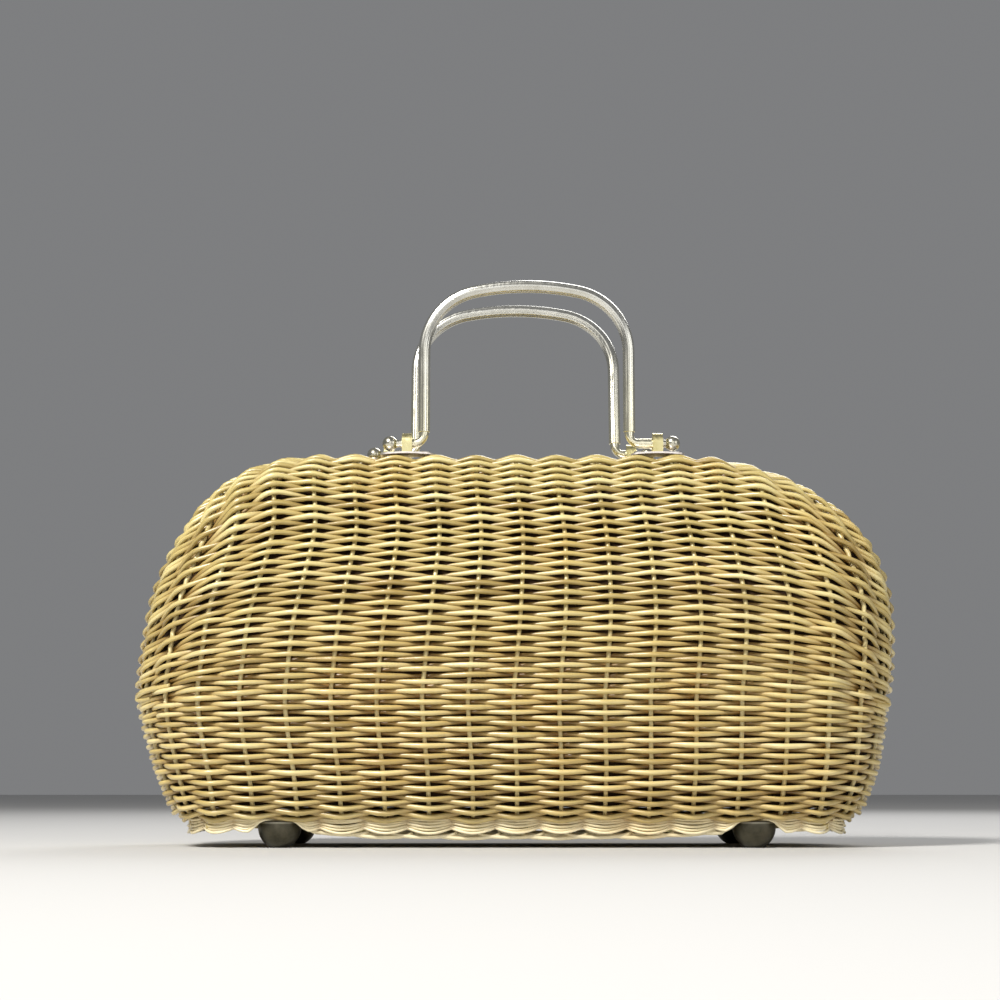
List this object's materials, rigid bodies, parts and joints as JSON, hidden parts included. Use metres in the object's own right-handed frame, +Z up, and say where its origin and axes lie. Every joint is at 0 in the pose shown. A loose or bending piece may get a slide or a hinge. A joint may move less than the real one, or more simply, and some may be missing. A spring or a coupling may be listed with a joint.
{
  "type": "wicker box handbag",
  "caption": "Rounded oblong wicker handbag of woven half shells hinged under the seam, with hinged tube handles and domed metal feet.",
  "frame": {"origin": "floor level under the middle of the closed bag", "axes": "+X along the length, -Y towards the front half and its upright handle, +Z up"},
  "size_m": [0.3516, 0.132, 0.2665],
  "materials": {
    "wicker": "lacquered cane weave, semi-gloss",
    "lining": "dark brown woven lining",
    "handle_tube": "champagne anodised, fluted",
    "bracket_brass": "yellow brass, rubbed",
    "plate_metal": "pale plated strip",
    "foot_metal": "dark antique plating",
    "steel": "plain plated fasteners"
  },
  "bodies": {
    "rear_half": {"rear_basket": "wicker", "rear_rim": "wicker", "rear_lining": "lining", "rear_foot_left": "foot_metal", "rear_foot_right": "foot_metal", "rear_foot_washers": "steel", "rear_foot_screws": "steel", "rear_plate_left": "plate_metal", "rear_plate_right": "plate_metal", "rear_bracket_left": "bracket_brass", "rear_bracket_right": "bracket_brass", "rear_backing_left": "steel", "rear_backing_right": "steel", "rear_plate_rivets": "steel", "rear_hinge_rivets": "bracket_brass", "left_hinge_rear_leaf": "bracket_brass", "right_hinge_rear_leaf": "bracket_brass", "left_hinge_pin": "steel", "right_hinge_pin": "steel", "catch_socket": "bracket_brass"},
    "front_half": {"front_basket": "wicker", "front_rim": "wicker", "front_lining": "lining", "front_foot_left": "foot_metal", "front_foot_right": "foot_metal", "front_foot_washers": "steel", "front_foot_screws": "steel", "front_plate_left": "plate_metal", "front_plate_right": "plate_metal", "front_bracket_left": "bracket_brass", "front_bracket_right": "bracket_brass", "front_backing_left": "steel", "front_backing_right": "steel", "front_plate_rivets": "steel", "front_hinge_rivets": "bracket_brass", "left_hinge_front_leaf": "bracket_brass", "right_hinge_front_leaf": "bracket_brass", "catch_stud": "bracket_brass"},
    "front_handle_body": {"front_handle": "handle_tube", "front_ball_left": "handle_tube", "front_ball_right": "handle_tube"},
    "rear_handle_body": {"rear_handle": "handle_tube", "rear_ball_left": "handle_tube", "rear_ball_right": "handle_tube"}
  },
  "joints": [
    {"name": "half_hinge", "type": "hinge", "parent": "rear_half", "child": "front_half", "pos_m": [0, 0, 0.0063], "axis": [1, 0, 0], "range_deg": [0, 80]},
    {"name": "front_handle_hinge", "type": "hinge", "parent": "front_half", "child": "front_handle_body", "pos_m": [0, -0.017, 0.18775], "axis": [1, 0, 0], "range_deg": [-9, 85]},
    {"name": "rear_handle_hinge", "type": "hinge", "parent": "rear_half", "child": "rear_handle_body", "pos_m": [0, 0.017, 0.18775], "axis": [1, 0, 0], "range_deg": [-75, 19]}
  ]
}
